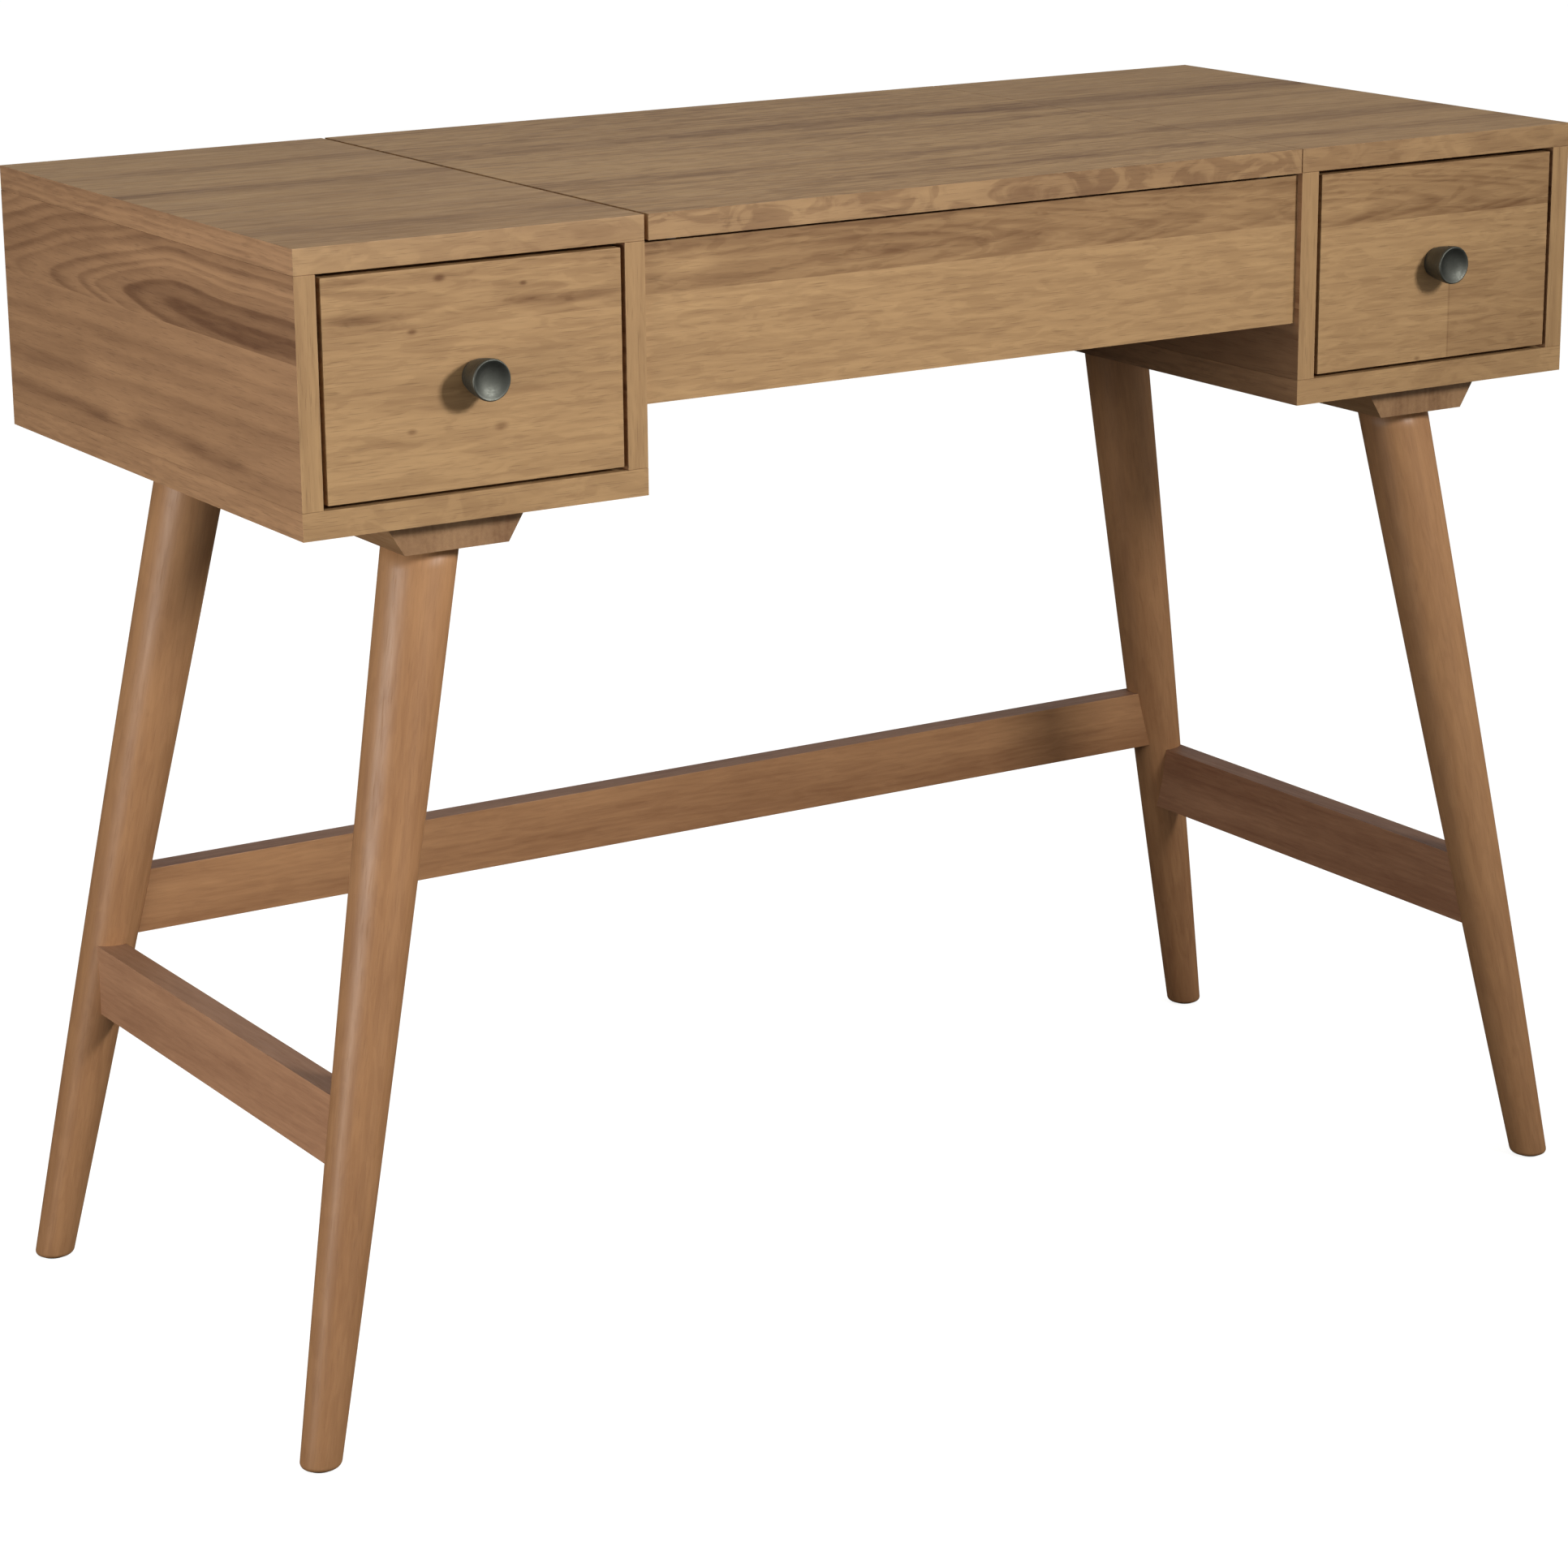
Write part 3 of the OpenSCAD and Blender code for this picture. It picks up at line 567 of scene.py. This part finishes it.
def make_knob(side, material):
    """A turned knob with a dished face. It stands on the drawer front where the CAD knob does."""
    low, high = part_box(f"{side}_knob")
    radius, length = (high.x - low.x) / 2, high.y - low.y
    centre = Vector(((low.x + high.x) / 2, high.y, (low.z + high.z) / 2))
    mesh = bmesh.new()
    rings = []
    for out, wide in KNOB_OUTLINE:
        points = KNOB_SIDES if wide else 1
        ring = []
        for k in range(points):
            angle = 2 * math.pi * k / points
            ring.append(mesh.verts.new((radius * wide * math.cos(angle), -length * out,
                                        radius * wide * math.sin(angle))))
        rings.append(ring)
    for below, above in zip(rings, rings[1:]):
        for k in range(KNOB_SIDES):
            corners = [below[k], below[(k + 1) % KNOB_SIDES],
                       above[(k + 1) % len(above)], above[k % len(above)]]
            face = mesh.faces.new(list(dict.fromkeys(corners)))
            face.smooth = True
    mesh.faces.new(list(reversed(rings[0])))
    bmesh.ops.recalc_face_normals(mesh, faces=mesh.faces)
    data = bpy.data.meshes.new(f"{side}_knob_turned")
    mesh.to_mesh(data)
    mesh.free()
    knob = bpy.data.objects.new(f"{side}_knob_turned", data)
    bpy.context.scene.collection.objects.link(knob)
    knob.location = centre
    paint(knob, material)
    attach(knob, f"{side}_drawer")
    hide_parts(f"{side}_knob")


# ---- Boards ----

SIDES = ("left", "right")

# Single marks of the two drawer fronts
FRONT_MARKS = {
    "left": dict(
        streaks=[streak(0.716, 0.006, 0.46, -0.345, -0.27), streak(0.714, 0.008, 0.36, -0.47, -0.43),
                 streak(0.735, 0.004, 0.18, -0.47, -0.36), streak(0.640, 0.004, 0.22, -0.45, -0.40)],
        knots=[knot(-0.393, 0.7365, 0.0022), knot(-0.337, 0.7285, 0.0014), knot(-0.354, 0.6440, 0.0026),
               knot(-0.412, 0.7065, 0.0018), knot(-0.414, 0.6470, 0.0018)]),
    "right": dict(
        streaks=[streak(0.713, 0.005, 0.20, 0.29, 0.46)],
        knots=[knot(0.357, 0.6110, 0.0014)],
        butts=[butt(0.3835, 0.680, 0.15)]),
}

# The strips that the boards are glued up from. Places are in metres in the shared frame
FRONT_EDGE = -0.2105
TOP_STRIPS = [plank(-0.105, 0.04, -0.13, 0.05, figure=0.7), plank(-0.060, 0.0, -0.08, 0.05, figure=0.7),
              plank(0.060, 0.0, 0.0, 0.06, figure=0.7), plank(0.115, 0.04, 0.08, 0.05, figure=0.7),
              plank(0.4, 0.0, 0.17, 0.06, figure=0.7), plank(tone=-0.05)]
TOP_PLANKS = [plank(FRONT_EDGE, 0.10, -0.13, 0.05, figure=0.7)] + TOP_STRIPS
LID_PLANKS = [plank(FRONT_EDGE, 0.22, -0.13, 0.05, figure=0.7)] + TOP_STRIPS
BOTTOM_PLANKS = [plank(tone=-0.03, figure=0.5)]
LID_STREAKS = [streak(0.086, 0.026, 0.30), streak(-0.078, 0.022, 0.28), streak(-0.155, 0.022, 0.26, -0.10),
               streak(0.030, 0.012, 0.16, 0.0), streak(-0.030, 0.030, -0.12, -0.25, 0.3)]
LEFT_TOP_STREAKS = [streak(0.036, 0.020, 0.28), streak(-0.150, 0.022, 0.22), streak(0.13, 0.016, 0.12)]
# The lid and the right box's top look cut from the same boards, so they share marks and seed
TOP_STREAKS = {"left": LEFT_TOP_STREAKS, "right": LID_STREAKS}
TOP_SEEDS = {"left": 3, "right": 51}
APRON_PLANKS = [plank(0.712, -0.02, 0.55, 0.12, figure=0.35),
                plank(tone=0.20, heart=0.722, depth=0.007, start=-0.06, rise=0.10, figure=0.65, core=0.12)]
APRON_STREAKS = [streak(0.730, 0.008, 0.18, -0.11, 0.0), streak(0.722, 0.006, 0.22, -0.08, 0.05),
                 streak(0.728, 0.014, -0.30, -0.25, -0.20), streak(0.742, 0.004, 0.2)]
FRONT_PLANKS = {
    "left": [plank(0.708, 0.02, 0.56, 0.10, figure=0.35),
             plank(tone=0.13, heart=0.726, depth=0.010, start=-0.46, rise=0.06, figure=0.7)],
    "right": [plank(0.708, 0.02, 0.56, 0.10, figure=0.35),
              plank(tone=0.12, heart=0.716, depth=0.006, start=0.28, rise=0.12, figure=0.8)],
}
SIDE_PLANKS = [plank(0.5, figure=0.3), plank(0.618, 0.12, 0.60, 0.05),
               plank(0.694, -0.09, 0.60, 0.10, figure=0.6),
               plank(tone=0.08, heart=0.703, depth=0.004, start=-0.035, rise=0.19, core=0.30, figure=0.95)]
SIDE_STREAKS = [streak(0.622, 0.008, 0.34, -0.13, 0.02), streak(0.619, 0.009, 0.34, 0.06, 0.24),
                streak(0.645, 0.022, 0.14, 0.10), streak(0.606, 0.008, -0.2, -0.06, 0.05),
                streak(0.730, 0.010, -0.22, -EVERYWHERE, 0.06)]
# The inner sides' strips: their darker tones are partly painted shade of the knee space
INNER_SHADED_PLANKS = [plank(0.5, figure=0.3), plank(0.655, 0.14, 0.61, 0.06),
                plank(tone=0.16, heart=0.72, depth=0.04)]
# How dark each stretcher's wood is, beside its look; the right one's extra darkness is painted shade
STRETCHER_TONES_AND_SHADE = {"left": -0.05, "right": 0.25, "rear": 0.17}
CLEAT_TONE = 0.30


def paint_case(side, i):
    """The panels of one drawer box."""
    upright = edging("Y", "Z", "X", CASE_LOOK)
    level = edging("X", "Y", "Z", SIDE_LOOK)
    paint(f"{side}_top_panel", wood(f"{side}_top_wood", TOP_LOOK, "X", "Y", TOP_PLANKS, TOP_SEEDS[side],
                                    level, TOP_STREAKS[side]))
    paint(f"{side}_bottom_panel", wood(f"{side}_bottom_wood", CASE_LOOK, "X", "Y", BOTTOM_PLANKS, 5 + i,
                                       level))
    paint(f"{side}_outer_side", wood(f"{side}_outer_wood", SIDE_LOOK, "Y", "Z", SIDE_PLANKS, 7 + i,
                                     upright, SIDE_STREAKS))
    paint(f"{side}_inner_side", wood(f"{side}_inner_wood", SIDE_LOOK, "Y", "Z", INNER_SHADED_PLANKS, 9 + i,
                                     upright))
    paint(f"{side}_back_panel", wood(f"{side}_back_wood", SHEET_LOOK, "X", "Z", seed=42 + i))


def paint_drawer(side, i):
    paint(f"{side}_drawer_front", wood(f"{side}_front_wood", CASE_LOOK, "X", "Z", FRONT_PLANKS[side],
                                       11 + i, **FRONT_MARKS[side]))
    for j, part in enumerate(("box_front", "back")):
        material = wood(f"{side}_{part}_wood", DRAWER_LOOK, "X", "Z", seed=20 + 4 * i + j)
        paint(f"{side}_drawer_{part}", material)
    for j, part in enumerate(("outer_side", "inner_side")):
        material = wood(f"{side}_{part}_wood", DRAWER_LOOK, "Y", "Z", seed=30 + 4 * i + j)
        paint(f"{side}_drawer_{part}", material)
    paint(f"{side}_drawer_bottom", wood(f"{side}_floor_wood", SHEET_LOOK, "X", "Y", seed=40 + i))


def paint_stand(side, i):
    """What joins the legs of one side."""
    paint(f"{side}_cleat", wood(f"{side}_cleat_wood", CLEAT_LOOK, "Y", "X", [plank(tone=CLEAT_TONE)],
                                44 + i))
    # The stretcher's top and bottom faces carry painted shade, a darker look
    paint(f"{side}_stretcher", wood(f"{side}_stretcher_wood", STRETCHER_LOOK, "Y", "Z",
                                    [plank(tone=STRETCHER_TONES_AND_SHADE[side])], 46 + i,
                                    edging("Z", "Y", "X", STRETCHER_TOP_SHADE_LOOK)))


def paint_middle():
    """The lid with its mirror, the well below it, the apron and the rear stretcher."""
    paint("apron", wood("apron_wood", CASE_LOOK, "X", "Z", APRON_PLANKS, 50, streaks=APRON_STREAKS))
    paint("lid_panel", wood("lid_wood", LID_LOOK, "X", "Y", LID_PLANKS, TOP_SEEDS["right"],
                            streaks=LID_STREAKS))
    paint("hinge_rail", wood("rail_wood", CASE_LOOK, "X", "Z", seed=52))
    paint("well_floor", wood("well_wood", SHEET_LOOK, "X", "Y", seed=53))
    # The rear stretcher's top and bottom faces carry painted shade, a darker look
    paint("rear_stretcher", wood("rear_stretcher_wood", LEG_LOOK, "X", "Z",
                                 [plank(tone=STRETCHER_TONES_AND_SHADE["rear"])], 54,
                                 edging("Z", "X", "Y", STRETCHER_TOP_SHADE_LOOK)))
    paint("mirror_frame_rails", wood("rail_moulding_wood", CASE_LOOK, "X", "Y", seed=55))
    paint("mirror_frame_stiles", wood("stile_moulding_wood", CASE_LOOK, "Y", "X", seed=56))
    paint("mirror_backing", wood("backing_wood", SHEET_LOOK, "X", "Y", seed=57))
    paint("mirror_glass", mirror_material())


def paint_metals():
    """The slides, knobs, hinges and fasteners, and the plastic glides and bumpers."""
    slide_steel = metal("slide_steel", rgb(196, 198, 200), rgb(168, 170, 173), 0.35)
    zinc = metal("zinc_plate", rgb(205, 204, 198), rgb(170, 168, 162), 0.38)
    pewter = metal("pewter", rgb(114, 115, 107), rgb(83, 84, 78), 0.54)
    nylon = metal("glide_nylon", rgb(70, 66, 60), rgb(52, 49, 45), 0.55, metallic=0.0)
    clear_pad = metal("bumper_pad", rgb(225, 225, 220), rgb(205, 205, 200), 0.3, metallic=0.0)
    for side in SIDES:
        for part in ("case_slides", "middle_slides", "drawer_slides"):
            paint(f"{side}_{part}", slide_steel)
        make_knob(side, pewter)
        paint(f"{side}_knob_screw", zinc)
    for node in ("leg_bolts", "cleat_screws", "case_screws", "rail_hinge_leaves", "rail_hinge_screws",
                 "hinge_pins", "lid_hinge_leaves", "lid_hinge_screws"):
        paint(node, zinc)
    paint("foot_glides", nylon)
    paint("lid_bumpers", clear_pad)


def soften_boards():
    boards = ["apron", "lid_panel", "hinge_rail", "well_floor", "rear_stretcher", "mirror_frame_rails",
              "mirror_frame_stiles"]
    for side in SIDES:
        for part in ("top_panel", "bottom_panel", "outer_side", "inner_side", "drawer_front", "cleat",
                     "stretcher", "drawer_box_front", "drawer_back", "drawer_outer_side",
                     "drawer_inner_side"):
            boards.append(f"{side}_{part}")
    for node in boards:
        soften(node)


# ---- Legs ----

# How much wider a leg's radius is at its middle than a straight taper's
LEG_SWELL = 1.0 * MM
LEG_SIDES = 96
LEG_RINGS = 40
FOOT_ROUND = 3.5 * MM
# The rings of the foot's rounded edge, as angles around the rounding
FOOT_ANGLES = range(0, 91, 15)
# How close to a level end's height its points lie
LEVEL_WITHIN = 0.05 * MM
# How dark each leg is beside the others: painted shade on the back legs, painted light on the front right
LEG_SHADE_TONES = {"front_left_leg": 0.0, "back_left_leg": 0.09, "front_right_leg": -0.07,
             "back_right_leg": 0.22}


def ring_at(node, height):
    """The middle of a leg's section at one of its two level ends, and its half width along X."""
    points = [v.co for v in nodes[node].data.vertices if abs(v.co.z - height) < LEVEL_WITHIN]
    low = Vector([min(p[i] for p in points) for i in range(3)])
    high = Vector([max(p[i] for p in points) for i in range(3)])
    return (low + high) / 2, (high.x - low.x) / 2


def make_leg(node, tone, seed):
    """A turned leg, cut level at both ends, with its foot's edge rounded over."""
    low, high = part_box(node)
    foot, foot_r = ring_at(node, low.z)
    head, head_r = ring_at(node, high.z)
    axis = head - foot
    turn = Vector((0, 0, 1)).rotation_difference(axis)
    frame_of_leg = Matrix.Translation(foot) @ turn.to_matrix().to_4x4()
    inverse = frame_of_leg.inverted()
    stretch = math.sqrt(1 + (axis.x / axis.z) ** 2)
    heights = [FOOT_ROUND * (1 - math.cos(math.radians(a))) for a in FOOT_ANGLES]
    heights += [FOOT_ROUND + (axis.z - FOOT_ROUND) * i / LEG_RINGS for i in range(1, LEG_RINGS + 1)]
    mesh = bmesh.new()
    rings = []
    for height in heights:
        t = height / axis.z
        radius = (foot_r + (head_r - foot_r) * t) / stretch + 4 * LEG_SWELL * t * (1 - t)
        if height < FOOT_ROUND:
            radius -= FOOT_ROUND - math.sqrt(FOOT_ROUND ** 2 - (FOOT_ROUND - height) ** 2)
        centre = foot + axis * t
        ring = []
        for k in range(LEG_SIDES):
            angle = 2 * math.pi * k / LEG_SIDES
            flat = Vector((math.cos(angle), math.sin(angle), 0))
            tilted = turn @ flat
            place = centre + radius * (tilted - axis * (tilted.z / axis.z))
            ring.append(mesh.verts.new(inverse @ place))
        rings.append(ring)
    for below, above in zip(rings, rings[1:]):
        for k in range(LEG_SIDES):
            nxt = (k + 1) % LEG_SIDES
            mesh.faces.new((below[k], below[nxt], above[nxt], above[k])).smooth = True
    mesh.faces.new(list(reversed(rings[0])))
    mesh.faces.new(rings[-1])
    data = bpy.data.meshes.new(node + "_turned")
    mesh.to_mesh(data)
    mesh.free()
    leg = bpy.data.objects.new(node + "_turned", data)
    bpy.context.scene.collection.objects.link(leg)
    leg.matrix_world = frame_of_leg
    paint(leg, wood(node + "_wood", LEG_LOOK, "Z", "X", [plank(tone=tone)], seed))
    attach(leg, "desk")
    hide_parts(node)


# ---- The scene ----

make_camera()
make_studio()
for i, side in enumerate(SIDES):
    paint_case(side, i)
    paint_drawer(side, i)
    paint_stand(side, i)
paint_middle()
paint_metals()
soften_boards()
for i, (node, tone) in enumerate(LEG_SHADE_TONES.items()):
    make_leg(node, tone, 60 + i)

bpy.context.scene.view_settings.view_transform = "Standard"
